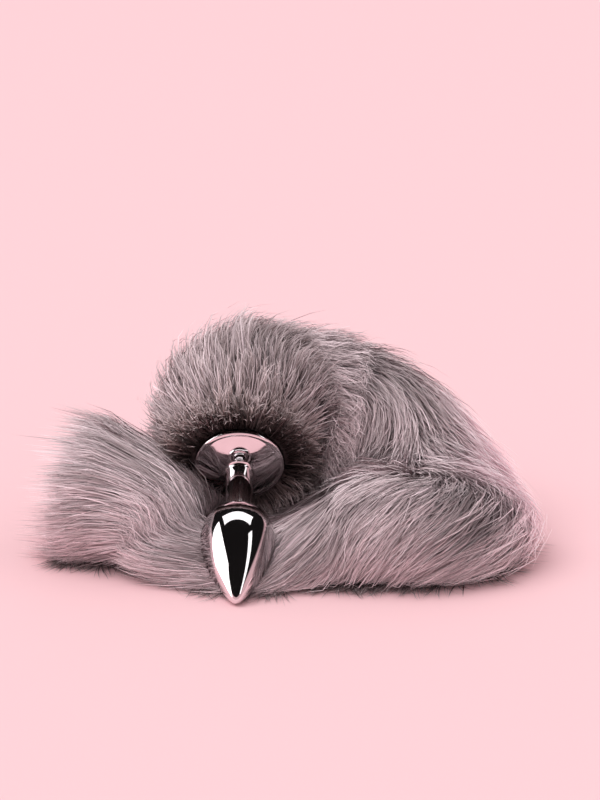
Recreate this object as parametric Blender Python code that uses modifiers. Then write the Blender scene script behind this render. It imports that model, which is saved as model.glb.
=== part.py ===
# Chrome plug with a long fox tail, lying curled on a flat surface.
# Run with: blender --background --python part.py
# Lengths are in metres and angles in degrees. The surface is the plane z = 0.

import math

import bmesh
import bpy
from mathutils import Vector

# Plug: one turned piece, measured along its own axis from the nose
BULB_DIAMETER = 0.028
BULB_LENGTH = 0.043
BULB_WIDEST_AT = 0.0315
SHOULDER_DIAMETER = 0.0165
NECK_DIAMETER = 0.0104
NECK_LENGTH = 0.0255
NECK_FILLET = 0.0016
FLANGE_DIAMETER = 0.035
FLANGE_RIM = 0.0032
FLANGE_RISE = 0.0036
PLUG_PITCH = 27.0
PLUG_SIDES = 32

# Post that joins the tail to the flange
POST_DIAMETER = 0.009
POST_LENGTH = 0.024
SOCKET_DEPTH = 0.0026
POST_CHAMFER = 0.0008

# Tail: the route of its skin, and how far the fur stands off it
LOOP_REACH = 0.092
LOOP_DEPTH = 0.050
FUR_STAND = 0.040
UNDERFUR_SHARE = 0.74
ROUTE_STATIONS = 32
SECTION_SIDES = 14

# Locks of fur, in rows along the tail and round it
LOCK_ROWS = 13
FIRST_ROW_AT = 0.45
LAST_ROW_SHORT_BY = 0.45
LOCKS_AROUND = 9
LOCK_LAY = 0.040
LOCK_WIDTH = 0.024
LOCK_CROWN = 0.0055
LOCK_FOOT = 0.60
LOCK_TIP = 0.97
SKIN_GRAIN = 0.0012
TAIL_FACES = 7200

# Clearances
SEAT_GAP = 0.0003
FLOOR_SLAB = 0.05

COLOURS = {
    "plug": ((0.86, 0.84, 0.85, 1.0), 0.06, 1.0),
    "tail_post": ((0.60, 0.60, 0.61, 1.0), 0.35, 1.0),
    "fur_tail": ((0.36, 0.30, 0.31, 1.0), 0.85, 0.0),
}

# One row for each station of the tail, from behind the flange round to the tip.
# across: share of LOOP_REACH to the right of the plug's axis
# back: share of LOOP_DEPTH behind the flange
# height: share of FUR_STAND above the surface
# spread and rise: share of FUR_STAND that the fur reaches sideways and upwards
# lay: share of LOCK_LAY that a lock runs along the tail before its tip
# fall: radians that a lock's tip turns down round the tail's flank
ROUTE = [
    {"across": 0.02, "back": 0.39, "height": 1.10, "spread": 1.05, "rise": 1.12, "lay": 0.32, "fall": 0.0},
    {"across": 0.16, "back": 0.71, "height": 1.04, "spread": 1.09, "rise": 1.03, "lay": 0.45, "fall": 0.1},
    {"across": 0.43, "back": 0.87, "height": 0.88, "spread": 1.05, "rise": 1.00, "lay": 0.60, "fall": 0.3},
    {"across": 0.62, "back": 0.76, "height": 0.76, "spread": 0.96, "rise": 0.86, "lay": 0.60, "fall": 0.6},
    {"across": 0.75, "back": 0.48, "height": 0.52, "spread": 0.95, "rise": 0.64, "lay": 0.50, "fall": 0.9},
    {"across": 0.78, "back": 0.14, "height": 0.35, "spread": 1.04, "rise": 0.56, "lay": 0.45, "fall": 1.1},
    {"across": 0.75, "back": -0.17, "height": 0.33, "spread": 1.20, "rise": 0.55, "lay": 0.45, "fall": 1.3},
    {"across": 0.55, "back": -0.32, "height": 0.38, "spread": 1.03, "rise": 0.57, "lay": 0.55, "fall": 1.3},
    {"across": 0.39, "back": -0.34, "height": 0.26, "spread": 0.91, "rise": 0.45, "lay": 0.65, "fall": 1.1},
    {"across": 0.11, "back": -0.33, "height": 0.09, "spread": 0.97, "rise": 0.24, "lay": 0.85, "fall": 0.7},
    {"across": -0.18, "back": -0.22, "height": 0.18, "spread": 0.98, "rise": 0.25, "lay": 1.00, "fall": 0.4},
    {"across": -0.33, "back": -0.10, "height": 0.47, "spread": 0.94, "rise": 0.49, "lay": 0.80, "fall": 0.3},
    {"across": -0.60, "back": 0.00, "height": 0.57, "spread": 0.77, "rise": 0.75, "lay": 0.45, "fall": 0.3},
]

# One row for each ring of a lock, from its root inside the tail to just before its tip.
# along: share of the lock's lay
# top: share of the way from the tail's middle to the reach of the fur, along the lock's back
# width: share of LOCK_WIDTH
LOCK = [
    {"along": -0.30, "top": 0.72, "width": 0.70},
    {"along": 0.25, "top": 0.90, "width": 1.00},
    {"along": 0.75, "top": 1.00, "width": 0.66},
]


def clear_scene():
    for old in list(bpy.data.objects):
        bpy.data.objects.remove(old)


def make_collection(name):
    collection = bpy.data.collections.new(name)
    bpy.context.scene.collection.children.link(collection)
    return collection


def make_material(name):
    colour, roughness, metallic = COLOURS[name]
    material = bpy.data.materials.new(name)
    material.use_nodes = True
    shader = material.node_tree.nodes["Principled BSDF"]
    shader.inputs["Base Color"].default_value = colour
    shader.inputs["Roughness"].default_value = roughness
    shader.inputs["Metallic"].default_value = metallic
    return material


def add_object(name, data, collection):
    thing = bpy.data.objects.new(name, data)
    collection.objects.link(thing)
    return thing


def bulb_radius(along):
    """Radius of the bulb at a distance from the nose: a blunt cone, then a quarter ellipse."""
    widest = BULB_DIAMETER / 2
    if along <= BULB_WIDEST_AT:
        left = 1 - along / BULB_WIDEST_AT
        return widest * (1 - left ** 1.5) ** 0.8
    past = (along - BULB_WIDEST_AT) / (BULB_LENGTH - BULB_WIDEST_AT)
    shoulder = SHOULDER_DIAMETER / 2
    return shoulder + (widest - shoulder) * math.sqrt(max(0.0, 1 - past ** 2))


def arc(centre, radius, start, end, steps):
    """Points of an arc in the (radius, along) plane, its angles measured from the radius axis."""
    turns = [math.radians(start + (end - start) * i / steps) for i in range(steps + 1)]
    return [(centre[0] + radius * math.cos(a), centre[1] + radius * math.sin(a)) for a in turns]


def plug_length():
    return BULB_LENGTH + NECK_LENGTH + FLANGE_RISE + FLANGE_RIM


def plug_profile(grow=0.0):
    """(radius, along) from the nose to the back of the flange, every face moved out by grow."""
    neck = NECK_DIAMETER / 2 + grow
    rim = FLANGE_DIAMETER / 2 + grow
    rim_round = FLANGE_RIM * 0.46
    face_at = BULB_LENGTH + NECK_LENGTH - grow
    back_at = plug_length() + grow
    front = [1 - math.cos(math.radians(90 * i / 10)) for i in range(1, 11)]
    rear = [math.sin(math.radians(90 * i / 4)) for i in range(1, 5)]
    points = [(0.0, -grow)]
    points += [(bulb_radius(s * BULB_WIDEST_AT) + grow, s * BULB_WIDEST_AT) for s in front]
    for share in rear:
        along = BULB_WIDEST_AT + share * (BULB_LENGTH - BULB_WIDEST_AT)
        points.append((bulb_radius(along) + grow, along + grow * share))
    root = (neck + NECK_FILLET, BULB_LENGTH + grow + NECK_FILLET)
    points += arc(root, NECK_FILLET, 270, 180, 2)
    flare = (neck + NECK_FILLET, face_at - NECK_FILLET)
    points += arc(flare, NECK_FILLET, 180, 110, 2)
    start = points[-1]
    rim_front = (rim - rim_round, face_at + FLANGE_RISE + rim_round)
    for share in (0.35, 0.7):
        bulge = 0.12 * FLANGE_RISE * math.sin(math.pi * share)
        reach = start[0] + (rim_front[0] - start[0]) * share
        along = start[1] + (rim_front[1] - rim_round - start[1]) * share
        points.append((reach, along - bulge))
    points += arc(rim_front, rim_round, 260, 360, 4)
    rim_back = (rim - rim_round, back_at - rim_round)
    points += arc(rim_back, rim_round, 0, 90, 2)
    points.append((0.0, back_at))
    return points


def turned(name, profile, sides, collection):
    """A solid of revolution about its local z axis. The profile is (radius, along) from low to high."""
    mesh = bpy.data.meshes.new(name)
    line = [(radius, 0.0, along) for radius, along in reversed(profile)]
    mesh.from_pydata(line, [(i, i + 1) for i in range(len(line) - 1)], [])
    thing = add_object(name, mesh, collection)
    screw = thing.modifiers.new("turn", "SCREW")
    screw.steps = sides
    screw.render_steps = sides
    screw.use_merge_vertices = True
    screw.merge_threshold = 0.00001
    screw.use_smooth_shade = True
    return thing


def nose_height():
    """Height of the nose when the pitched bulb just rests on the surface."""
    pitch = math.radians(PLUG_PITCH)
    drops = [r * math.cos(pitch) - z * math.sin(pitch) for r, z in plug_profile()]
    return max(drops)


def plug_axis():
    pitch = math.radians(PLUG_PITCH)
    return Vector((0.0, math.cos(pitch), math.sin(pitch)))


def place_on_axis(thing, along):
    """Sets a turned piece on the plug's axis, its own origin at a distance from the nose."""
    thing.rotation_euler = (math.radians(PLUG_PITCH - 90), 0.0, 0.0)
    thing.location = Vector((0.0, 0.0, nose_height())) + plug_axis() * along


def cut(thing, cutter, solver="EXACT"):
    change = thing.modifiers.new(cutter.name, "BOOLEAN")
    change.operation = "DIFFERENCE"
    change.solver = solver
    change.object = cutter
    cutter.hide_render = True
    cutter.display_type = "WIRE"


def make_plug(parts, cutters):
    plug = turned("plug", plug_profile(), PLUG_SIDES, parts)
    place_on_axis(plug, 0.0)
    depth = SOCKET_DEPTH + SEAT_GAP
    radius = POST_DIAMETER / 2 + SEAT_GAP
    socket = turned("post_socket", [(0.0, 0.0), (radius, 0.0), (radius, 2 * depth), (0.0, 2 * depth)],
                    PLUG_SIDES, cutters)
    place_on_axis(socket, plug_length() - depth)
    cut(plug, socket)
    return plug


def post_profile(grow=0.0):
    radius = POST_DIAMETER / 2 + grow
    top = POST_LENGTH + grow
    return [(0.0, 0.0), (radius - POST_CHAMFER, 0.0), (radius, POST_CHAMFER),
            (radius, top - POST_CHAMFER), (radius - POST_CHAMFER, top), (0.0, top)]


def make_post(parts):
    post = turned("tail_post", post_profile(), PLUG_SIDES // 2, parts)
    place_on_axis(post, plug_length() - SOCKET_DEPTH)
    return post


def eased(values, at):
    """Catmull-Rom value between a list's entries. at runs from 0 to the last index."""
    last = len(values) - 1
    i = min(int(at), last - 1)
    u = at - i
    a, b, c, d = (values[max(0, min(last, i + k))] for k in (-1, 0, 1, 2))
    return b + 0.5 * u * (c - a + u * (2 * a - 5 * b + 4 * c - d + u * (3 * (b - c) + d - a)))


def route_rows():
    """Stations of the tail as (centre, spread, rise, lay, fall), the first one on the flange's back."""
    flange = Vector((0.0, 0.0, nose_height())) + plug_axis() * plug_length()
    rows = [(flange, 0.80 * FUR_STAND, 0.80 * FUR_STAND, 0.15 * LOCK_LAY, 0.0)]
    for row in ROUTE:
        centre = Vector((row["across"] * LOOP_REACH,
                         flange.y + row["back"] * LOOP_DEPTH,
                         row["height"] * FUR_STAND))
        rows.append((centre, row["spread"] * FUR_STAND, row["rise"] * FUR_STAND,
                     row["lay"] * LOCK_LAY, row["fall"]))
    return rows


def route_point(rows, at):
    """Centre of the tail at a place along it. Past the last station it runs straight on."""
    last = len(rows) - 1
    held = max(0.0, min(float(last), at))
    centre = Vector([eased([r[0][k] for r in rows], held) for k in range(3)])
    return centre + (rows[last][0] - rows[last - 1][0]) * max(0.0, at - last)


def station(rows, at):
    """(centre, tangent, side, up, spread, rise, lay, fall) of the tail at a place along it."""
    held = max(0.0, min(float(len(rows) - 1), at))
    near = max(0.0, at - 0.05)
    tangent = (route_point(rows, at + 0.05) - route_point(rows, near)).normalized()
    side = Vector((0.0, 0.0, 1.0)).cross(tangent).normalized()
    up = tangent.cross(side).normalized()
    spread, rise, lay, fall = (eased([r[k] for r in rows], held) for k in (1, 2, 3, 4))
    return route_point(rows, at), tangent, side, up, spread, rise, lay, fall


def off_centre(rows, at, angle, share):
    """A point round the tail, at a share of the fur's reach from its middle."""
    centre, tangent, side, up, spread, rise = station(rows, at)[:6]
    return centre + (side * (math.cos(angle) * spread) + up * (math.sin(angle) * rise)) * share


def step_along(rows, at, distance):
    """The place a distance further on along the tail, found by short steps."""
    steps = 6
    for _ in range(steps):
        pace = (route_point(rows, at + 0.05) - route_point(rows, at)).length / 0.05
        at += distance / steps / pace
    return at


def make_underfur(name, rows, start, end, collection):
    """A length of the tail's body under its locks: a closed tube of changing section."""
    stations = ROUTE_STATIONS // 2
    points = []
    for i in range(stations + 1):
        at = start + (end - start) * i / stations
        for j in range(SECTION_SIDES):
            angle = 2 * math.pi * j / SECTION_SIDES
            points.append(off_centre(rows, at, angle, UNDERFUR_SHARE))
    faces = []
    for i in range(stations):
        for j in range(SECTION_SIDES):
            k = (j + 1) % SECTION_SIDES
            a = i * SECTION_SIDES
            b = a + SECTION_SIDES
            faces.append((a + j, a + k, b + k))
            faces.append((a + j, b + k, b + j))
    faces.append(tuple(reversed(range(SECTION_SIDES))))
    faces.append(tuple(stations * SECTION_SIDES + j for j in range(SECTION_SIDES)))
    mesh = bpy.data.meshes.new(name)
    mesh.from_pydata(points, [], faces)
    length = add_object(name, mesh, collection)
    length.hide_render = True
    length.display_type = "WIRE"
    return length


def make_lock(name, rows, at, angle, collection):
    """One lock: a wedge that rises from the tail's body, lies over along it and ends in a tip."""
    lay, fall = station(rows, at)[6:8]
    reach = 1.15
    places = []
    for along in [ring["along"] for ring in LOCK] + [reach]:
        turned_down = fall * math.cos(angle) * max(0.0, along) / reach
        places.append((step_along(rows, at, along * lay), angle - turned_down))
    tip = off_centre(rows, *places[-1], LOCK_TIP)
    heading = tip - off_centre(rows, *places[0], LOCK_TIP)
    points = []
    for ring, place in zip(LOCK, places):
        foot = off_centre(rows, *place, LOCK_FOOT)
        crest = off_centre(rows, *place, ring["top"])
        out = (crest - foot).normalized()
        half = heading.cross(out).normalized() * (ring["width"] * LOCK_WIDTH / 2)
        shoulder = crest - out * min(LOCK_CROWN, 0.6 * (crest - foot).length)
        points += [foot + half * 0.7, shoulder + half, crest + half * 0.3,
                   crest - half * 0.3, shoulder - half, foot - half * 0.7]
    points.append(tip)
    faces = []
    for i in range(len(LOCK) - 1):
        for j in range(6):
            k = (j + 1) % 6
            faces.append((6 * i + k, 6 * i + j, 6 * i + 6 + j))
            faces.append((6 * i + k, 6 * i + 6 + j, 6 * i + 6 + k))
    faces.append((0, 1, 2, 3, 4, 5))
    last = 6 * (len(LOCK) - 1)
    faces += [(last + (j + 1) % 6, last + j, len(points) - 1) for j in range(6)]
    mesh = bpy.data.meshes.new(name)
    mesh.from_pydata(points, [], faces)
    lock = add_object(name, mesh, collection)
    lock.hide_render = True
    lock.display_type = "WIRE"


def make_locks(rows, collection):
    """All the locks, in shingled rows along the tail."""
    last = len(rows) - 1
    for i in range(LOCK_ROWS):
        at = FIRST_ROW_AT + (last - LAST_ROW_SHORT_BY - FIRST_ROW_AT) * i / (LOCK_ROWS - 1)
        centre, rise = (station(rows, at)[k] for k in (0, 5))
        for j in range(LOCKS_AROUND):
            angle = 2 * math.pi * (j + 0.5 * (i % 2)) / LOCKS_AROUND + 0.3 * math.sin(2.4 * i)
            if centre.z + math.sin(angle) * rise * 0.8 < 0.0:
                continue
            make_lock(f"lock_{i}_{j}", rows, at, angle, collection)


def make_surface_slab(collection):
    """A block under the surface that cuts the tail flat where it rests."""
    wide = 5 * LOOP_REACH
    corners = [(x, y, z) for z in (-FLOOR_SLAB, 0.0) for y in (-wide, wide) for x in (-wide, wide)]
    sides = [(0, 2, 3, 1), (4, 5, 7, 6), (0, 1, 5, 4), (2, 6, 7, 3), (0, 4, 6, 2), (1, 3, 7, 5)]
    mesh = bpy.data.meshes.new("surface")
    mesh.from_pydata(corners, [], sides)
    return add_object("surface", mesh, collection)


def shells_by_volume(form):
    """The mesh's closed shells as lists of faces, the outer one first and the hollows last."""
    left = set(form.faces)
    shells = []
    while left:
        stack = [left.pop()]
        shell = list(stack)
        while stack:
            for edge in stack.pop().edges:
                for face in edge.link_faces:
                    if face in left:
                        left.remove(face)
                        stack.append(face)
                        shell.append(face)
        volume = sum(f.calc_center_median().dot(f.normal) * f.calc_area() for f in shell) / 3
        shells.append((volume, shell))
    return [shell for volume, shell in sorted(shells, key=lambda entry: -entry[0])]


def outer_shell(thing, name, collection):
    """A mesh object of the outer shell only, with the small hollows between locks filled."""
    graph = bpy.context.evaluated_depsgraph_get()
    mesh = bpy.data.meshes.new_from_object(thing.evaluated_get(graph))
    form = bmesh.new()
    form.from_mesh(mesh)
    bmesh.ops.triangulate(form, faces=form.faces)
    for face in form.faces:
        face.material_index = 0
        face.smooth = False
    for shell in shells_by_volume(form)[1:]:
        bmesh.ops.delete(form, geom=shell, context="FACES")
    form.to_mesh(mesh)
    form.free()
    mesh.name = name
    return add_object(name, mesh, collection)


def make_tail(parts, cutters):
    rows = route_rows()
    last = len(rows) - 1
    body = make_underfur("underfur_root", rows, 0.0, 0.5 * last, cutters)
    locks = bpy.data.collections.new("locks")
    cutters.children.link(locks)
    make_underfur("underfur_end", rows, 0.45 * last, last, locks)
    make_locks(rows, locks)
    union = body.modifiers.new("locks", "BOOLEAN")
    union.operation = "UNION"
    union.solver = "MANIFOLD"
    union.operand_type = "COLLECTION"
    union.collection = locks
    skin = body.modifiers.new("skin", "REMESH")
    skin.mode = "VOXEL"
    skin.voxel_size = SKIN_GRAIN
    tail = outer_shell(body, "fur_tail", parts)
    thin = tail.modifiers.new("thin", "DECIMATE")
    thin.ratio = TAIL_FACES / len(tail.data.polygons)
    cut(tail, make_surface_slab(cutters), "MANIFOLD")
    seat = turned("plug_seat", plug_profile(SEAT_GAP), PLUG_SIDES, cutters)
    place_on_axis(seat, 0.0)
    cut(tail, seat, "MANIFOLD")
    hole = turned("post_hole", post_profile(SEAT_GAP), PLUG_SIDES // 2, cutters)
    place_on_axis(hole, plug_length() - SOCKET_DEPTH)
    cut(tail, hole, "MANIFOLD")
    return tail


def centre_of_box(pieces):
    """Middle of the pieces' common box in X and Y, as they stand with all their modifiers."""
    graph = bpy.context.evaluated_depsgraph_get()
    corners = []
    for piece in pieces:
        solid = piece.evaluated_get(graph)
        corners += [solid.matrix_world @ vertex.co for vertex in solid.data.vertices]
    return Vector([(min(c[k] for c in corners) + max(c[k] for c in corners)) / 2 for k in (0, 1)])


def main():
    clear_scene()
    parts = make_collection("fox_tail_plug")
    cutters = make_collection("cutters")
    pieces = [make_plug(parts, cutters), make_post(parts), make_tail(parts, cutters)]
    for piece in pieces:
        piece.data.materials.append(make_material(piece.name))
    bpy.context.view_layer.update()
    middle = centre_of_box(pieces)
    for thing in list(parts.all_objects) + list(cutters.all_objects):
        thing.location.x -= middle.x
        thing.location.y -= middle.y


main()
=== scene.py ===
import math

import bpy
import numpy as np
from mathutils import Matrix, Vector


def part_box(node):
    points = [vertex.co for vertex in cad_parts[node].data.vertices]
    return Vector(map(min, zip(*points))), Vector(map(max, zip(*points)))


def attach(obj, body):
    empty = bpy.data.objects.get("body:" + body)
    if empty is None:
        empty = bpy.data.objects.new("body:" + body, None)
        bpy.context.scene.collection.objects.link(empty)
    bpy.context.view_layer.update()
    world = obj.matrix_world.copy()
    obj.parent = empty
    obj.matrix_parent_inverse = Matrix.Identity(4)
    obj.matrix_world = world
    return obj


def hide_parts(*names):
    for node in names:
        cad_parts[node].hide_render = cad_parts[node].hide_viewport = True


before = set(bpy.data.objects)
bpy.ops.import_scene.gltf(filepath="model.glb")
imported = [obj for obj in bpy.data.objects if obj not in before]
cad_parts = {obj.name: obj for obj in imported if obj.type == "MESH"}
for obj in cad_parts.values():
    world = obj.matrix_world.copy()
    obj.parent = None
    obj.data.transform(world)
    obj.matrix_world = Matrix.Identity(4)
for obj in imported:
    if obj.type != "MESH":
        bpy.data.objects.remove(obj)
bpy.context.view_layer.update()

print("solids loaded")


# a colour given in 0 to 255, as the shader wants it
def tint(r, g, b):
    return tuple(((c / 255 + 0.055) / 1.055) ** 2.4 for c in (r, g, b)) + (1.0,)


def linkObject(name, data):
    thing = bpy.data.objects.new(name, data)
    bpy.context.scene.collection.objects.link(thing)
    return thing


# points and faces are arrays, all faces with the same number of corners
def addMesh(name, points, faces):
    mesh = bpy.data.meshes.new(name)
    points = np.asarray(points, np.float32)
    faces = np.asarray(faces, np.int32)
    corners = faces.shape[1]
    mesh.vertices.add(len(points))
    mesh.vertices.foreach_set("co", points.ravel())
    mesh.loops.add(faces.size)
    mesh.loops.foreach_set("vertex_index", faces.ravel())
    mesh.polygons.add(len(faces))
    mesh.polygons.foreach_set("loop_start", np.arange(0, faces.size, corners, dtype=np.int32))
    mesh.polygons.foreach_set("use_smooth", np.ones(len(faces), bool))
    mesh.update(calc_edges=True)
    return linkObject(name, mesh)


def newMaterial(name):
    material = bpy.data.materials.new(name)
    material.use_nodes = True
    nodes, links = material.node_tree.nodes, material.node_tree.links
    nodes.clear()
    output = nodes.new("ShaderNodeOutputMaterial")
    shader = nodes.new("ShaderNodeBsdfPrincipled")
    links.new(shader.outputs["BSDF"], output.inputs["Surface"])
    return material, nodes, links, shader


def addRamp(nodes, stops):
    ramp = nodes.new("ShaderNodeValToRGB")
    while len(ramp.color_ramp.elements) < len(stops):
        ramp.color_ramp.elements.new(0.5)
    for element, (place, colour) in zip(ramp.color_ramp.elements, stops):
        element.position = place
        element.color = colour
    return ramp


def addNoise(nodes, links, scale, detail):
    place = nodes.new("ShaderNodeTexCoord")
    noise = nodes.new("ShaderNodeTexNoise")
    noise.inputs["Scale"].default_value = scale
    noise.inputs["Detail"].default_value = detail
    links.new(place.outputs["Object"], noise.inputs["Vector"])
    return noise


# the plug, turned in one piece: metres along its axis from the nose, and radii
plugForm = {
    "bulbRadius": 0.014, "bulbLength": 0.043, "widestAt": 0.0315, "shoulderRadius": 0.00825,
    "coneBend": (1.5, 0.8),
    "neckRadius": 0.0052, "neckLength": 0.0255, "fillet": 0.0016,
    "flangeRadius": 0.0175, "rim": 0.0032, "rise": 0.0036, "rimShare": 0.46, "faceSwell": 0.12,
    "noseRound": 0.0012, "noseFade": 0.0025, "pitch": 27.0, "sides": 160,
    "polish": (0.028, 0.060),
    "chromeDark": tint(232, 226, 228), "chromeLight": tint(243, 238, 240),
}


def bulbRadiusAt(along):
    form = plugForm
    if along <= form["widestAt"]:
        left = 1 - along / form["widestAt"]
        inner, outer = form["coneBend"]
        cone = form["bulbRadius"] * (1 - left ** inner) ** outer
        nub = 2 * form["noseRound"] * along * math.exp(-along / form["noseFade"])
        return math.sqrt(cone ** 2 + nub)
    past = (along - form["widestAt"]) / (form["bulbLength"] - form["widestAt"])
    spare = form["bulbRadius"] - form["shoulderRadius"]
    return form["shoulderRadius"] + spare * math.sqrt(max(0.0, 1 - past ** 2))


def arcPoints(centre, radius, start, end, steps):
    turns = [math.radians(start + (end - start) * i / steps) for i in range(steps + 1)]
    return [(centre[0] + radius * math.cos(a), centre[1] + radius * math.sin(a)) for a in turns]


# (radius, along) from the nose to the middle of the flange's back
def plugOutline():
    form = plugForm
    points = [(0.0, 0.0)]
    for i in range(1, 61):
        along = form["widestAt"] * (1 - math.cos(math.radians(1.5 * i)))
        points.append((bulbRadiusAt(along), along))
    shoulder = form["bulbLength"] - form["widestAt"]
    for i in range(1, 25):
        along = form["widestAt"] + shoulder * math.sin(math.radians(3.75 * i))
        points.append((bulbRadiusAt(along), along))
    neck, fillet = form["neckRadius"], form["fillet"]
    face = form["bulbLength"] + form["neckLength"]
    points += arcPoints((neck + fillet, form["bulbLength"] + fillet), fillet, 270, 180, 8)
    points += arcPoints((neck + fillet, face - fillet), fillet, 180, 110, 8)
    start = points[-1]
    rimRound = form["rim"] * form["rimShare"]
    front = (form["flangeRadius"] - rimRound, face + form["rise"] + rimRound)
    for i in range(1, 14):                              # the face swells a little
        share = i / 14
        swell = form["faceSwell"] * form["rise"] * math.sin(math.pi * share)
        points.append((start[0] + (front[0] - start[0]) * share,
                       start[1] + (front[1] - rimRound - start[1]) * share - swell))
    points += arcPoints(front, rimRound, 260, 360, 14)
    back = face + form["rise"] + form["rim"]
    points += arcPoints((form["flangeRadius"] - rimRound, back - rimRound), rimRound, 0, 90, 8)
    points.append((0.0, back))
    return points


def makePlug():
    outline = plugOutline()
    sides = plugForm["sides"]
    pitch = math.radians(plugForm["pitch"])
    axis = Vector((0.0, math.cos(pitch), math.sin(pitch)))
    upper = Vector((0.0, -math.sin(pitch), math.cos(pitch)))
    across = Vector((1.0, 0.0, 0.0))
    points = [axis * outline[0][1]]
    for radius, along in outline[1:-1]:
        for j in range(sides):
            turn = 2 * math.pi * j / sides
            points.append(axis * along + (across * math.cos(turn) + upper * math.sin(turn)) * radius)
    points.append(axis * outline[-1][1])
    faces = [(0, 1 + j, 1 + (j + 1) % sides) for j in range(sides)]
    for i in range(len(outline) - 3):
        low, high = 1 + i * sides, 1 + (i + 1) * sides
        for j in range(sides):
            k = (j + 1) % sides
            faces.append((low + k, low + j, high + j, high + k))
    last, ring = len(points) - 1, len(points) - 1 - sides
    faces += [(last, ring + (j + 1) % sides, ring + j) for j in range(sides)]
    mesh = bpy.data.meshes.new("turned_plug")
    mesh.from_pydata([tuple(p) for p in points], [], faces)
    mesh.polygons.foreach_set("use_smooth", np.ones(len(faces), bool))
    own = np.array([v.co for v in mesh.vertices])
    low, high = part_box("plug")
    shift = Vector((np.array(low) + np.array(high) - own.min(0) - own.max(0)) / 2)
    mesh.transform(Matrix.Translation(shift))
    mesh.update()
    return linkObject("turned_plug", mesh), shift, axis


def mirrorChrome():
    material, nodes, links, shader = newMaterial("mirrorChrome")
    wear = addNoise(nodes, links, 90.0, 6.0)
    low, high = plugForm["polish"]
    rough = addRamp(nodes, [(0.35, (low, low, low, 1)), (0.75, (high, high, high, 1))])
    tone = addRamp(nodes, [(0.3, plugForm["chromeDark"]), (0.7, plugForm["chromeLight"])])
    links.new(wear.outputs["Fac"], rough.inputs["Fac"])
    links.new(wear.outputs["Fac"], tone.inputs["Fac"])
    links.new(rough.outputs["Color"], shader.inputs["Roughness"])
    links.new(tone.outputs["Color"], shader.inputs["Base Color"])
    shader.inputs["Metallic"].default_value = 1.0
    return material


plug, nose, plugAxis = makePlug()
plugLength = plugForm["bulbLength"] + plugForm["neckLength"] + plugForm["rise"] + plugForm["rim"]
flange = nose + plugAxis * plugLength
plug.data.materials.append(mirrorChrome())
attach(plug, "root")
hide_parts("plug")
print("plug turned")


# the hidden pin keeps its solid
def plainPinSteel():
    material, nodes, links, shader = newMaterial("plainPinSteel")
    grain = addNoise(nodes, links, 600.0, 2.0)
    tone = addRamp(nodes, [(0.3, (0.50, 0.50, 0.51, 1)), (0.7, (0.64, 0.64, 0.65, 1))])
    links.new(grain.outputs["Fac"], tone.inputs["Fac"])
    links.new(tone.outputs["Color"], shader.inputs["Base Color"])
    shader.inputs["Metallic"].default_value = 1.0
    shader.inputs["Roughness"].default_value = 0.35
    return material


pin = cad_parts["tail_post"]
pin.data.materials.clear()
pin.data.materials.append(plainPinSteel())
print("pin dressed")


# the tail's route, from behind the flange round to the tip
# each station: across, back, height, spread, rise, lay (shares of the sizes) and fall in radians
tailForm = {
    "loopReach": 0.092, "loopDepth": 0.050, "furStand": 0.040, "lay": 0.040,
    "rootStand": 0.8, "rootLay": 0.15, "rootPace": 0.019, "step": 0.01, "before": 0.3, "after": 2.0,
    "stations": [
        (0.02, 0.39, 1.10, 1.05, 1.12, 0.32, 0.0),
        (0.16, 0.71, 1.04, 1.09, 1.03, 0.45, 0.1),
        (0.43, 0.87, 0.88, 1.05, 1.00, 0.60, 0.3),
        (0.62, 0.76, 0.76, 0.96, 0.86, 0.60, 0.6),
        (0.75, 0.48, 0.52, 0.95, 0.64, 0.50, 0.9),
        (0.78, 0.14, 0.35, 1.04, 0.56, 0.45, 1.1),
        (0.75, -0.17, 0.33, 1.20, 0.55, 0.45, 1.3),
        (0.55, -0.32, 0.38, 1.03, 0.57, 0.55, 1.3),
        (0.39, -0.34, 0.26, 0.91, 0.45, 0.65, 1.1),
        (0.11, -0.33, 0.09, 0.97, 0.24, 0.85, 0.7),
        (-0.18, -0.22, 0.18, 0.98, 0.25, 1.00, 0.4),
        (-0.33, -0.10, 0.47, 0.94, 0.49, 0.80, 0.3),
        (-0.60, 0.00, 0.57, 0.77, 0.75, 0.45, 0.3),
    ],
}


# the route at fine steps, straight on before its first station and past its last
def routeTable():
    form = tailForm
    stand, step = form["furStand"], form["step"]
    rows = [[flange.x, flange.y, flange.z, form["rootStand"] * stand, form["rootStand"] * stand,
             form["rootLay"] * form["lay"], 0.0]]
    for across, back, height, spread, rise, lay, fall in form["stations"]:
        rows.append([flange.x + across * form["loopReach"], flange.y + back * form["loopDepth"],
                     height * stand, spread * stand, rise * stand, lay * form["lay"], fall])
    rows = np.array(rows)
    last = len(rows) - 1
    at = np.arange(-form["before"], last + form["after"], step)
    held = np.clip(at, 0, last)
    i = np.minimum(held.astype(int), last - 1)
    u = (held - i)[:, None]
    a, b, c, d = (rows[np.clip(i + k, 0, last)] for k in (-1, 0, 1, 2))
    values = b + 0.5 * u * (c - a + u * (2 * a - 5 * b + 4 * c - d + u * (3 * (b - c) + d - a)))
    values[:, :3] += (rows[last, :3] - rows[last - 1, :3]) * np.maximum(0, at - last)[:, None]
    values[:, :3] += np.array(plugAxis) * form["rootPace"] * np.minimum(0, at)[:, None]
    tangent = np.gradient(values[:, :3], step, axis=0)
    pace = np.linalg.norm(tangent, axis=1)
    tangent /= pace[:, None]
    side = np.cross((0.0, 0.0, 1.0), tangent)
    side /= np.linalg.norm(side, axis=1)[:, None]
    return {"at": at, "centre": values[:, :3], "tangent": tangent, "side": side,
            "up": np.cross(tangent, side), "spread": values[:, 3], "rise": values[:, 4],
            "lay": values[:, 5], "fall": values[:, 6], "pace": pace,
            "length": np.cumsum(pace) * step, "last": last}


route = routeTable()


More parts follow.
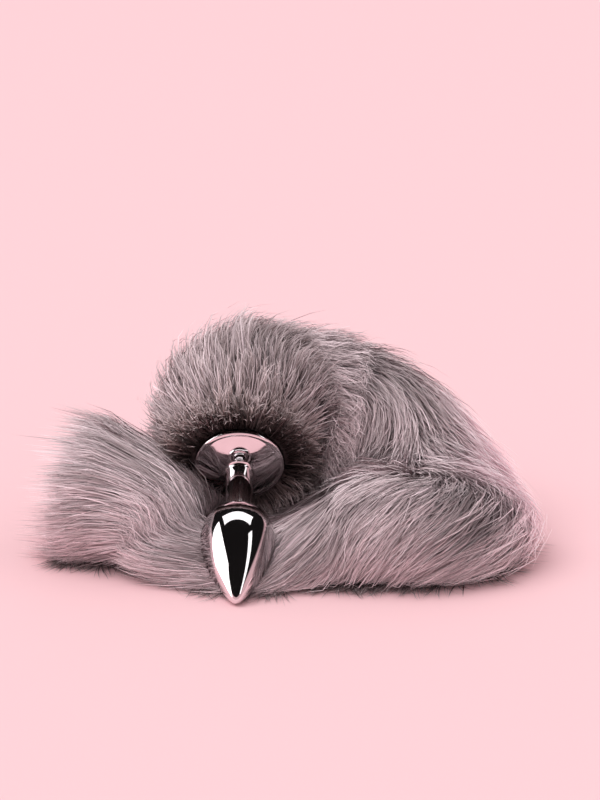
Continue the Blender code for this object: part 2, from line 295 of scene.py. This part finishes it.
def readRoute(key, at):
    values = route[key]
    if values.ndim == 1:
        return np.interp(at, route["at"], values)
    return np.stack([np.interp(at, route["at"], values[:, k]) for k in range(3)], -1)


# points round the tail, at a share of the fur's reach from its middle
def offCentre(at, angle, share):
    spread = (readRoute("spread", at) * np.cos(angle) * share)[..., None]
    rise = (readRoute("rise", at) * np.sin(angle) * share)[..., None]
    return readRoute("centre", at) + readRoute("side", at) * spread + readRoute("up", at) * rise


outlineRows = np.array(plugOutline()[:-1])
outlineRows = outlineRows[np.argsort(outlineRows[:, 1], kind="stable")]


# neckShare is where the flange begins on the neck, floor the least height of any fur
keepOff = {"neckShare": 0.9, "floor": 0.0003}


# moves points out of the plug, sideways off the bulb and neck, back off the flange, and off the surface
def keepOffPlug(points, gap):
    axis = np.array(plugAxis)
    rel = points - np.array(nose)
    along = rel @ axis
    radial = rel - along[..., None] * axis
    radius = np.linalg.norm(radial, axis=-1)
    wall = np.interp(along, outlineRows[:, 1], outlineRows[:, 0], left=0.0, right=0.0) + gap
    inside = (radius < wall) & (along > -gap) & (along < plugLength)
    neckEnd = plugForm["bulbLength"] + plugForm["neckLength"] * keepOff["neckShare"]
    sideways, behind = inside & (along <= neckEnd), inside & (along > neckEnd)
    out = radial / np.maximum(radius, 1e-6)[..., None]
    points = np.where(sideways[..., None], points + out * (wall - radius)[..., None], points)
    backwards = axis * (plugLength + gap - along)[..., None]
    points = np.where(behind[..., None], points + backwards, points)
    points[..., 2] = np.maximum(points[..., 2], keepOff["floor"])
    return points


# hair that would lie over the plug, as it is looked at from the front, is left out
combing = {"slope": 15.0, "spare": 0.0008, "depth": 0.004, "heights": (-0.01, 0.075, 400)}


def liesOverPlug(points):
    slope = math.radians(combing["slope"])
    ahead = np.array((0.0, math.cos(slope), -math.sin(slope)))
    upward = np.array((0.0, math.sin(slope), math.cos(slope)))
    axis = np.array(plugAxis)
    rel = points - np.array(nose)
    heights = np.linspace(*combing["heights"])
    middle = outlineRows[:, 1] * (axis @ upward)
    half = np.maximum(outlineRows[:, 0], 1e-6)
    inside = 1 - ((heights[:, None] - middle) / (half * (axis @ ahead))) ** 2
    width = (half * np.sqrt(np.maximum(0, inside))).max(1)
    height = rel @ upward
    wall = np.interp(height, heights, width, left=0.0, right=0.0)
    depth = height / (axis @ upward) * (axis @ ahead)
    near = np.abs(rel[..., 0]) < wall + combing["spare"]
    return near & (rel @ ahead < depth + combing["depth"]) & (wall > 0)


# the dense fur under the long hair: a closed body a little inside the solid, dark partly in its own
# colour and partly as painted shade between the long hairs
underfurForm = {"share": 0.68, "around": 72, "steps": 250, "ruffle": 0.05, "past": 0.25,
                "closeOver": 0.5, "openOver": (0.2, 6), "floor": 0.0006, "plugGap": 0.0010,
                # the undercoat's colour, darkened as painted shade so that the gaps between the long
                # hairs look dark
                "dark": tint(50, 40, 39), "middle": tint(88, 74, 74), "light": tint(122, 106, 108)}


# one cell of the map for each face, so that nothing in it overlaps
def gridMap(thing, rows, columns):
    layer = thing.data.uv_layers.new(name="OFBake")
    i, j = np.meshgrid(np.arange(rows), np.arange(columns), indexing="ij")
    i, j = i.ravel(), j.ravel()
    corners = np.stack([np.stack([i, j], -1), np.stack([i, j + 1], -1),
                        np.stack([i + 1, j + 1], -1), np.stack([i + 1, j], -1)], 1)
    layer.data.foreach_set("uv", (corners / (rows + 0.0, columns + 0.0)).astype(np.float32).ravel())


def makeUnderfur():
    form = underfurForm
    end = route["last"] + form["past"]
    around = form["around"]
    at, angle = np.meshgrid(np.linspace(0.0, end, form["steps"]),
                            np.linspace(0, 2 * math.pi, around, endpoint=False), indexing="ij")
    ruffle = np.sin(9 * at + 3 * np.sin(2 * angle)) * np.sin(5 * angle + 4 * at)
    ruffle = (ruffle + 0.6 * np.sin(23 * at + 7 * angle)) * form["ruffle"]
    begin, pace = form["openOver"]
    close = np.clip((end - at) / form["closeOver"], 0.0, 1.0) ** 0.5 * np.clip(begin + pace * at, 0, 1)
    points = offCentre(at, angle, form["share"] * (1 + ruffle) * close)
    points[..., 2] = np.maximum(points[..., 2], form["floor"])
    points = keepOffPlug(points, form["plugGap"])
    i, j = np.meshgrid(np.arange(form["steps"] - 1), np.arange(around), indexing="ij")
    i, j = i.ravel(), j.ravel()
    k = (j + 1) % around
    faces = np.stack([i * around + j, i * around + k, (i + 1) * around + k, (i + 1) * around + j], -1)
    thing = addMesh("tail_underfur", points.reshape(-1, 3), faces)
    gridMap(thing, form["steps"] - 1, around)
    return thing


def underfurWithPaintedShade():
    material, nodes, links, shader = newMaterial("underfurWithPaintedShade")
    grain = addNoise(nodes, links, 420.0, 8.0)
    form = underfurForm
    # painted shade: these dark stops also stand for the shade deep between the long hairs
    tone = addRamp(nodes, [(0.3, form["dark"]), (0.55, form["middle"]), (0.8, form["light"])])
    bump = nodes.new("ShaderNodeBump")
    bump.inputs["Strength"].default_value = 0.8
    bump.inputs["Distance"].default_value = 0.001
    links.new(grain.outputs["Fac"], tone.inputs["Fac"])
    links.new(tone.outputs["Color"], shader.inputs["Base Color"])
    links.new(grain.outputs["Fac"], bump.inputs["Height"])
    links.new(bump.outputs["Normal"], shader.inputs["Normal"])
    shader.inputs["Roughness"].default_value = 0.9
    return material


underfur = makeUnderfur()
underfur.data.materials.append(underfurWithPaintedShade())
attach(underfur, "root")
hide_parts("fur_tail")
underfur.visible_glossy = False
print("underfur swept")


# long hair: flat tapered strands in tufts, in metres, radians and shares of the fur's reach
hairForm = {
    "width": 0.00042, "thin": (0.6, 1.35), "rings": 5, "roll": 55.0,
    "taperAt": (0, 0.25, 0.7, 1.0), "taper": (0.75, 1.0, 0.7, 0.0),
    "tuftLong": 0.0055, "tuftWide": 0.22, "tuftSpread": 0.25,
    "tuftPull": (0.30, 0.85), "tuftLoose": (0.6, 1.0), "pullAlong": 0.5, "pullOut": 0.6,
    "parting": 1.85, "fallHold": 2.0, "stray": 0.06, "wave": 0.0020, "sag": 0.0010,
    "lowest": 0.9, "ground": 0.0004, "groundSpare": 0.0022, "plugGap": 0.0006,
    "tuftTone": 0.42, "patchTone": 0.28, "ownTone": 0.30, "patchBrown": 0.25, "ownBrown": 0.10,
    "root": tint(78, 62, 63), "middle": tint(196, 174, 179), "tip": tint(252, 234, 238),
    "brownRoot": tint(40, 28, 26), "brownMiddle": tint(128, 106, 104), "brownTip": tint(236, 214, 216),
    "shadeDark": (0.24, 0.22, 0.22, 1), "shadeMiddle": (0.80, 0.79, 0.79, 1),
    "shadeLight": (1.6, 1.58, 1.6, 1),
    # painted light: how far right of the flange, over what width and to what tone the strands are painted
    # paler, for the light from the side and behind
    "paintedBacklightFrom": 0.080, "paintedBacklightOver": 0.024, "paintedBacklightTone": 0.75,
}

# start and end are stations of the route, brown is how much of the dark brown shade a piece has,
# roots and tips are how far out a strand starts and ends, length is a share of the lay
hairPieces = {
    "hair_flange_ruff": {"start": -0.14, "end": 0.10, "strands": 7500, "seed": 10, "brown": 0.95,
                         "roots": (0.30, 0.80), "tips": (0.70, 1.03), "length": (-0.3, 0.7)},
    "hair_ruff": {"start": 0.1, "end": 1.6, "strands": 25000, "seed": 11, "brown": 0.75,
                  "roots": (0.30, 0.76), "tips": (0.62, 1.02), "length": (0.5, 1.2)},
    "hair_back_run": {"start": 1.3, "end": 4.6, "strands": 24000, "seed": 12, "brown": 0.35,
                      "roots": (0.45, 0.78), "tips": (0.76, 1.00), "length": (0.6, 1.2)},
    "hair_front_lobe": {"start": 4.3, "end": 9.0, "strands": 27500, "seed": 13, "brown": 0.15,
                        "roots": (0.45, 0.78), "tips": (0.76, 1.00), "length": (0.6, 1.2)},
    "hair_tail_end": {"start": 8.7, "end": 12.65, "strands": 26500, "seed": 14, "brown": 0.10,
                      "roots": (0.45, 0.78), "tips": (0.76, 1.00), "length": (0.6, 1.2)},
    "hair_long_guard": {"start": 0.1, "end": 12.6, "strands": 13000, "seed": 15, "brown": 0.30,
                        "roots": (0.50, 0.80), "tips": (0.92, 1.07), "length": (0.8, 1.3)},
}


# a repeatable number from 0 to 1 for each cell of a grid
def hashed(i, j, salt):
    value = np.sin(i * 127.1 + j * 311.7 + salt * 74.7) * 43758.5453
    return value - np.floor(value)


# smooth patches of light and dark over the tail, about 0 to 1
def patchTone(at, angle, salt):
    tone = np.zeros(at.shape)
    for k in range(4):
        swing = 1.3 + 1.1 * k
        tone += np.sin(swing * at * (2.0 + 0.7 * salt) + 3 * k + salt) \
            * np.sin((k + 1) * angle + 1.7 * k * salt) / (1 + 0.4 * k)
    return np.clip(0.5 + 0.25 * tone, 0, 1)


# the middle of the nearest tuft and two numbers of its own, from a shaken grid
def nearestTuft(at, angle, long, wide, salt):
    around = max(3, round(2 * math.pi / wide))
    wide = 2 * math.pi / around
    row, column = np.floor(at / long), np.floor(angle / wide)
    best = np.full(at.shape, 1e9)
    found = [np.zeros(at.shape) for _ in range(4)]
    for di in (-1, 0, 1):
        for dj in (-1, 0, 1):
            i, j = row + di, np.mod(column + dj, around)
            tuftAt = (i + 0.15 + 0.7 * hashed(i, j, salt)) * long
            tuftAngle = (column + dj + 0.15 + 0.7 * hashed(i, j, salt + 1)) * wide
            far = ((at - tuftAt) / long) ** 2 + ((angle - tuftAngle) / wide) ** 2
            near = far < best
            best = np.where(near, far, best)
            values = (tuftAt, tuftAngle, hashed(i, j, salt + 2), hashed(i, j, salt + 3))
            found = [np.where(near, value, kept) for value, kept in zip(values, found)]
    return found


# how far hair turns down round the flank, away from the parting along the tail's top
def fallOver(angle, fall):
    return fall * np.tanh(hairForm["fallHold"] * np.sin(hairForm["parting"] - angle))


def growHair(name, piece):
    form = hairForm
    rng = np.random.default_rng(piece["seed"])
    count = piece["strands"] // 1
    ends = np.interp((piece["start"], piece["end"]), route["at"], route["length"])
    at = np.interp(rng.uniform(*ends, count * 4), route["length"], route["at"])
    angle = rng.uniform(0, 2 * math.pi, count * 4)
    height = readRoute("centre", at)[:, 2] + np.sin(angle) * readRoute("rise", at) * form["lowest"]
    kept = height > 0.0
    at, angle = at[kept], angle[kept]
    total = len(at)
    pace = readRoute("pace", at)
    tuftLong = form["tuftLong"] / pace.mean()
    tuftAt, tuftAngle, tuftSize, tuftTone = nearestTuft(at, angle, tuftLong, form["tuftWide"], 3)
    long = readRoute("lay", at) * rng.uniform(*piece["length"], total)
    fall = readRoute("fall", at)
    u = np.linspace(0, 1, form["rings"])[None, :]
    weakest, strongest = form["tuftPull"]
    pull = weakest + (strongest - weakest) * tuftSize
    pull = (pull * rng.uniform(*form["tuftLoose"], total))[:, None] * u ** 1.4
    along = at[:, None] + (long / pace)[:, None] * u ** 1.1
    stray = rng.normal(0, form["stray"], total)[:, None] * u
    turn = angle[:, None] - fallOver(angle, fall)[:, None] * u ** 1.2 + stray
    tipAt = tuftAt + readRoute("lay", tuftAt) / pace
    tipAngle = tuftAngle - fallOver(tuftAngle, fall) + (tuftTone - 0.5) * form["tuftSpread"]
    along = along + (tipAt[:, None] - along) * pull * form["pullAlong"]
    turn = turn + (tipAngle[:, None] - turn) * pull
    root, tip = rng.uniform(*piece["roots"], total), rng.uniform(*piece["tips"], total)
    share = root[:, None] + (tip - root)[:, None] * np.sin(0.5 * math.pi * u) ** 0.9
    nearest, furthest = piece["tips"]
    tuftTip = nearest + (furthest - nearest) * tuftSize
    share = share + (tuftTip[:, None] - share) * pull * form["pullOut"]
    points = offCentre(along, turn, share)
    points = points + rng.normal(0, form["wave"], (total, 1, 3)) * (u ** 1.6)[..., None]
    points[..., 2] -= form["sag"] * u ** 2
    ground = form["ground"] + rng.uniform(0, form["groundSpare"], total)[:, None]
    points[..., 2] = np.where(points[..., 2] < ground, ground, points[..., 2])
    points = keepOffPlug(points, form["plugGap"])
    kept = np.flatnonzero(~liesOverPlug(points).any(1))[:count]
    points, along, turn, share = points[kept], along[kept], turn[kept], share[kept]
    outward = offCentre(along, turn, share) - readRoute("centre", along)
    outward /= np.linalg.norm(outward, axis=-1)[..., None] + 1e-9
    tone = form["tuftTone"] * tuftTone[kept] \
        + form["patchTone"] * patchTone(tuftAt[kept], tuftAngle[kept], 1) \
        + form["ownTone"] * rng.uniform(0, 1, len(kept))
    brown = piece["brown"] + form["patchBrown"] * (patchTone(at[kept], angle[kept], 2) - 0.5) \
        + rng.normal(0, form["ownBrown"], len(kept))
    # painted light: strands towards the far right are painted paler and less brown, standing in for the
    # light that falls on them from the side and behind and for the soft edge there
    paintedBacklight = np.clip((points[:, -1, 0] - flange.x - form["paintedBacklightFrom"]) / form["paintedBacklightOver"], 0, 1)
    tone = tone + (form["paintedBacklightTone"] + (1 - form["paintedBacklightTone"]) * tone - tone) * paintedBacklight
    brown = brown * (1 - paintedBacklight)
    return makeStrands(name, points, outward, rng, tone, brown, form["width"])


# one flat tapered ribbon along each row of points, shaded as if it faced outwards
def makeStrands(name, points, outward, rng, tone, brown, wide):
    count, rings = points.shape[:2]
    heading = np.gradient(points, axis=1)
    heading /= np.linalg.norm(heading, axis=-1)[..., None] + 1e-9
    flat = np.cross(heading, outward)
    flat /= np.linalg.norm(flat, axis=-1)[..., None] + 1e-9
    upright = np.cross(flat, heading)
    roll = np.radians(rng.uniform(-hairForm["roll"], hairForm["roll"], count))[:, None, None]
    flat = flat * np.cos(roll) + upright * np.sin(roll)
    u = np.linspace(0, 1, rings)
    taper = np.interp(u, hairForm["taperAt"], hairForm["taper"])
    half = wide * rng.uniform(*hairForm["thin"], count)[:, None, None] * taper[None, :, None] / 2
    corners = np.empty((count, 2 * rings - 1, 3), np.float32)
    corners[:, 0:-1:2] = (points - flat * half)[:, :-1]
    corners[:, 1:-1:2] = (points + flat * half)[:, :-1]
    corners[:, -1] = points[:, -1]
    base = (np.arange(count) * (2 * rings - 1))[:, None]
    faces = []
    for i in range(rings - 2):
        a = base + 2 * i
        faces += [np.concatenate([a, a + 1, a + 3], 1), np.concatenate([a, a + 3, a + 2], 1)]
    a = base + 2 * (rings - 2)
    faces.append(np.concatenate([a, a + 1, a + 2], 1))
    faces = np.stack(faces, 1).reshape(-1, 3)
    thing = addMesh(name, corners.reshape(-1, 3), faces)
    ringOf = np.concatenate([np.repeat(np.arange(rings - 1), 2), [rings - 1]])
    leaning = 0.65 * outward + 0.35 * np.cross(flat, heading)
    leaning /= np.linalg.norm(leaning, axis=-1)[..., None]
    thing.data.normals_split_custom_set_from_vertices(leaning[:, ringOf].reshape(-1, 3))
    paint = np.empty((count, 2 * rings - 1, 4), np.float32)
    paint[..., 0] = u[ringOf]                           # root to tip
    paint[..., 1] = np.clip(tone, 0, 1)[:, None]        # dark to light
    paint[..., 2] = np.clip(brown, 0, 1)[:, None]       # grey to brown
    paint[..., 3] = 1.0
    strand = thing.data.attributes.new("strand", "FLOAT_COLOR", "POINT")
    strand.data.foreach_set("color", paint.ravel())
    strandMap(thing, faces, count, rings, ringOf)
    return thing


# each strand has its own cell of the map
def strandMap(thing, faces, count, rings, ringOf):
    columns = 500
    rows = count // columns + 1
    strand = np.arange(count)
    across = np.full((count, 2 * rings - 1), 0.5)
    across[:, 0:-1:2], across[:, 1:-1:2] = 0.15, 0.85
    up = 0.05 + 0.9 * ringOf / (rings - 1)
    flatMap = np.stack([(strand % columns)[:, None] + across,
                        (strand // columns)[:, None] + up[None, :]], -1)
    flatMap = (flatMap / (columns, rows)).reshape(-1, 2).astype(np.float32)
    layer = thing.data.uv_layers.new(name="OFBake")
    layer.data.foreach_set("uv", flatMap[faces.ravel()].ravel())


def longFoxHair():
    material, nodes, links, shader = newMaterial("longFoxHair")
    form = hairForm
    strand = nodes.new("ShaderNodeAttribute")
    strand.attribute_name = "strand"
    parts = nodes.new("ShaderNodeSeparateColor")
    links.new(strand.outputs["Color"], parts.inputs["Color"])
    grey = addRamp(nodes, [(0.0, form["root"]), (0.45, form["middle"]), (1.0, form["tip"])])
    brown = addRamp(nodes, [(0.0, form["brownRoot"]), (0.55, form["brownMiddle"]),
                            (1.0, form["brownTip"])])
    shade = addRamp(nodes, [(0.0, form["shadeDark"]), (0.45, form["shadeMiddle"]),
                            (1.0, form["shadeLight"])])
    links.new(parts.outputs["Red"], grey.inputs["Fac"])
    links.new(parts.outputs["Red"], brown.inputs["Fac"])
    links.new(parts.outputs["Green"], shade.inputs["Fac"])
    blend = nodes.new("ShaderNodeMix")
    blend.data_type = "RGBA"
    links.new(parts.outputs["Blue"], blend.inputs["Factor"])
    links.new(grey.outputs["Color"], blend.inputs[6])
    links.new(brown.outputs["Color"], blend.inputs[7])
    shaded = nodes.new("ShaderNodeMix")
    shaded.data_type = "RGBA"
    shaded.blend_type = "MULTIPLY"
    shaded.inputs["Factor"].default_value = 1.0
    links.new(blend.outputs[2], shaded.inputs[6])
    links.new(shade.outputs["Color"], shaded.inputs[7])
    links.new(shaded.outputs[2], shader.inputs["Base Color"])
    shader.inputs["Roughness"].default_value = 0.48
    shader.inputs["Specular IOR Level"].default_value = 0.35
    return material


foxHair = longFoxHair()
for name, piece in hairPieces.items():
    hair = growHair(name, piece)
    hair.data.materials.append(foxHair)
    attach(hair, "root")
    hair.visible_glossy = name != "hair_tail_end"         # the flange's face shows the pale surface there
    print("grown", name, len(hair.data.polygons), "faces")


# thin loose hairs in small tufts that splay over the surface round the outer edge
wispForm = {"start": 4.0, "end": 13.3, "tufts": 210, "perTuft": 13, "seed": 21, "reach": (0.005, 0.019),
            "width": 0.00032, "sideways": 0.55, "spray": 0.20, "height": (0.0004, 0.0030),
            "scatter": 0.0016, "lowest": (-0.95, 0.2), "foot": (0.80, 0.98), "shorter": (0.55, 1.1),
            "tuftBend": 0.18, "ownBend": 0.10, "tone": (0.0, 0.35), "brown": (0.6, 1.0)}


def growWisps():
    form = wispForm
    rng = np.random.default_rng(form["seed"])
    tufts = form["tufts"] // 1
    tuft = np.repeat(np.arange(tufts), form["perTuft"])
    count = len(tuft)
    ends = np.interp((form["start"], form["end"]), route["at"], route["length"])
    place = rng.uniform(*ends, tufts)[tuft] + rng.normal(0, form["scatter"], count)
    at = np.interp(place, route["length"], route["at"])
    low = -readRoute("centre", at)[:, 2] / readRoute("rise", at)
    edge = offCentre(at, np.arcsin(np.clip(low, *form["lowest"])), rng.uniform(*form["foot"], count))
    lean = rng.normal(form["sideways"] * 0.6, form["sideways"], tufts)[tuft]
    lean = lean + rng.normal(0, form["spray"], count)
    out = readRoute("side", at) + readRoute("tangent", at) * lean[:, None]
    out[:, 2] = 0
    out /= np.linalg.norm(out, axis=-1)[:, None]
    swerve = np.stack([-out[:, 1], out[:, 0], np.zeros(count)], -1)
    u = np.linspace(0, 1, hairForm["rings"])[None, :, None]
    reach = rng.uniform(*form["reach"], tufts)[tuft] * rng.uniform(*form["shorter"], count)
    bend = rng.normal(0, form["tuftBend"], tufts)[tuft] + rng.normal(0, form["ownBend"], count)
    reach, bend = reach[:, None, None], bend[:, None, None]
    points = edge[:, None] + reach * (out[:, None] * u + swerve[:, None] * bend * u ** 2)
    points[..., 2] = rng.uniform(*form["height"], count)[:, None] * (1 - 0.5 * u[..., 0])
    points = keepOffPlug(points, hairForm["plugGap"])
    kept = np.flatnonzero(~liesOverPlug(points).any(1))
    points = points[kept]
    outward = np.zeros(points.shape)
    outward[..., 2] = 1.0
    tone = rng.uniform(*form["tone"], len(kept))
    brown = rng.uniform(*form["brown"], len(kept))
    return makeStrands("hair_wisps", points, outward, rng, tone, brown, form["width"])


wisps = growWisps()
wisps.data.materials.append(foxHair)
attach(wisps, "root")
print("wisps laid", len(wisps.data.polygons), "faces")


# the pale surface, the room and its lights
studioForm = {
    "surface": tint(228, 186, 191), "surfaceLow": tint(226, 184, 189), "wide": 9.0,
    "fill": 0.92, "fillTone": (1.0, 0.985, 0.985, 1.0),
    "sun": 1.75, "sunAngle": 50.0, "sunTowards": (-0.50, -0.15, 0.85),
    "roomLow": (0.70, 0.45, 0.475, 1), "roomHigh": (0.008, 0.007, 0.007, 1), "roomEdge": (0.29, 0.37),
}


def makeSurface():
    wide = studioForm["wide"] / 2
    corners = [(-wide, -wide, 0), (wide, -wide, 0), (wide, wide, 0), (-wide, wide, 0)]
    surface = addMesh("pale_surface", corners, [(0, 1, 2, 3)])
    material, nodes, links, shader = newMaterial("palePaper")
    grain = addNoise(nodes, links, 900.0, 2.0)
    tone = addRamp(nodes, [(0.0, studioForm["surfaceLow"]), (1.0, studioForm["surface"])])
    links.new(grain.outputs["Fac"], tone.inputs["Fac"])
    links.new(tone.outputs["Color"], shader.inputs["Base Color"])
    shader.inputs["Roughness"].default_value = 0.9
    shader.inputs["Specular IOR Level"].default_value = 0.1
    surface.data.materials.append(material)


# an even fill for the fur and the surface; what shines sees a dark room with a pale low backdrop
def makeRoom():
    world = bpy.data.worlds.new("room")
    bpy.context.scene.world = world
    world.use_nodes = True
    nodes, links = world.node_tree.nodes, world.node_tree.links
    nodes.clear()
    output = nodes.new("ShaderNodeOutputWorld")
    mix = nodes.new("ShaderNodeMixShader")
    ray = nodes.new("ShaderNodeLightPath")
    fill = nodes.new("ShaderNodeBackground")
    fill.inputs["Color"].default_value = studioForm["fillTone"]
    fill.inputs["Strength"].default_value = studioForm["fill"]
    room = nodes.new("ShaderNodeBackground")
    place = nodes.new("ShaderNodeTexCoord")
    split = nodes.new("ShaderNodeSeparateXYZ")
    links.new(place.outputs["Generated"], split.inputs["Vector"])
    lowEnd, highStart = studioForm["roomEdge"]
    tone = addRamp(nodes, [(0.0, studioForm["roomLow"]), (lowEnd, studioForm["roomLow"]),
                           (highStart, studioForm["roomHigh"]), (1.0, studioForm["roomHigh"])])
    links.new(split.outputs["Z"], tone.inputs["Fac"])
    links.new(tone.outputs["Color"], room.inputs["Color"])
    links.new(ray.outputs["Is Glossy Ray"], mix.inputs["Fac"])
    links.new(fill.outputs["Background"], mix.inputs[1])
    links.new(room.outputs["Background"], mix.inputs[2])
    links.new(mix.outputs["Shader"], output.inputs["Surface"])


# panels that show in the chrome: where each stands from the plug, which way it is long, sizes, power
panelForm = {
    "leftPanel": {"towards": (-0.92, -0.12, 0.34), "longWay": (0.0, 0.0, 1.0),
                  "distance": 2.6, "wide": 2.1, "long": 2.6, "power": 36.0},
    "topPanel": {"towards": (0.0, 0.26, 1.0), "longWay": (1.0, 0.0, 0.0),
                 "distance": 2.2, "wide": 0.95, "long": 2.9, "power": 14.0},
    "rightStrip": {"towards": (0.73, -0.33, 0.60), "longWay": (0.19, -0.50, -0.50),
                   "distance": 2.6, "wide": 0.50, "long": 2.0, "power": 4.8},
}


def makeLights():
    for name, panel in panelForm.items():
        light = bpy.data.lights.new(name, "AREA")
        light.shape = "RECTANGLE"
        light.size = panel["wide"]
        light.size_y = panel["long"]
        light.energy = panel["power"]
        lamp = linkObject(name, light)
        towards = Vector(panel["towards"]).normalized()
        wideWay = Vector(panel["longWay"]).cross(towards).normalized()
        turn = Matrix((wideWay, towards.cross(wideWay), towards)).transposed()
        lamp.matrix_world = Matrix.Translation(nose + towards * panel["distance"]) @ turn.to_4x4()
        lamp.visible_diffuse = False
    light = bpy.data.lights.new("skylight", "SUN")
    light.energy = studioForm["sun"]
    light.angle = math.radians(studioForm["sunAngle"])
    lamp = linkObject("skylight", light)
    lamp.rotation_euler = (-Vector(studioForm["sunTowards"])).to_track_quat("-Z", "Y").to_euler()
    lamp.visible_glossy = False


makeSurface()
makeRoom()
makeLights()
print("surface, room and lights set")


# the nose shows at noseAt in the picture, scaleAtNose pixels to the millimetre
viewForm = {"elevation": 15.0, "lens": 110.0, "sensor": 36, "picture": (600, 800),
            "noseAt": (236.0, 602.7), "scaleAtNose": 2.747}


def makeCamera():
    tilt = math.radians(viewForm["elevation"])
    wide, high = viewForm["picture"]
    perPixel = high / viewForm["sensor"] * viewForm["lens"]
    depth = perPixel / viewForm["scaleAtNose"] / 1000
    ahead = Vector((0, math.cos(tilt), -math.sin(tilt)))
    upward = Vector((0, math.sin(tilt), math.cos(tilt)))
    across = (viewForm["noseAt"][0] - wide / 2) / perPixel * depth
    above = (high / 2 - viewForm["noseAt"][1]) / perPixel * depth
    camera = bpy.data.cameras.new("camera")
    camera.lens = viewForm["lens"]
    camera.sensor_width = viewForm["sensor"]
    eye = linkObject("camera", camera)
    eye.location = nose - ahead * depth - Vector((across, 0, 0)) - upward * above
    eye.rotation_euler = ahead.to_track_quat("-Z", "Y").to_euler()
    bpy.context.scene.camera = eye


makeCamera()
bpy.context.scene.view_settings.view_transform = "Standard"
print("camera set")
